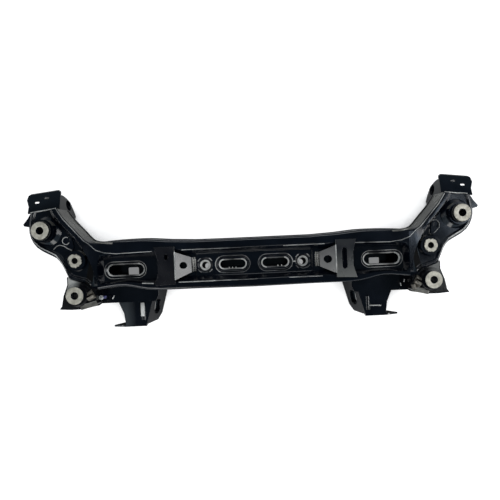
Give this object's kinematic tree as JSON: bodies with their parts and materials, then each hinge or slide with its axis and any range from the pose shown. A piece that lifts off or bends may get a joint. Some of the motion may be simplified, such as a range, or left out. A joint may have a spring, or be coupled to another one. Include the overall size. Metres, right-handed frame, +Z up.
{
  "type": "subframe",
  "caption": "Pressed steel suspension subframe: a channelled box beam with a swept arm at each end, bare mount sleeves and hanging brackets for suspension links.",
  "frame": {"origin": "middle of the part in plan, at the level of the bracket feet", "axes": "+X across the vehicle to the picture's right, +Y towards the front brackets (up in the picture), +Z up along the mount sleeves, towards the picture's camera"},
  "size_m": [1.0996, 0.3465, 0.14],
  "materials": {
    "black_paint": "gloss",
    "bare_steel": "satin",
    "clip_grey": "satin"
  },
  "bodies": {
    "root": {"beam_upper_shell": "black_paint", "beam_lower_shell": "black_paint", "right_arm_shell": "black_paint", "left_arm_shell": "black_paint", "right_arm_lower": "black_paint", "left_arm_lower": "black_paint", "right_front_sleeve": "bare_steel", "left_front_sleeve": "bare_steel", "right_brace_sleeve": "bare_steel", "left_brace_sleeve": "bare_steel", "right_rear_sleeve": "bare_steel", "left_rear_sleeve": "bare_steel", "right_rear_mount": "black_paint", "left_rear_mount": "black_paint", "right_rear_rail": "black_paint", "left_rear_rail": "black_paint", "right_rear_bracket": "black_paint", "left_rear_bracket": "black_paint", "right_rear_side_plate": "black_paint", "left_rear_side_plate": "black_paint", "right_front_bracket": "black_paint", "left_front_bracket": "black_paint", "right_front_side_plate": "black_paint", "left_front_side_plate": "black_paint", "right_front_ear": "black_paint", "left_front_ear": "black_paint", "right_saddle": "black_paint", "left_saddle": "black_paint", "right_side_tab": "black_paint", "left_side_tab": "black_paint", "right_line_clip": "clip_grey", "left_line_clip": "clip_grey"}
  },
  "joints": []
}
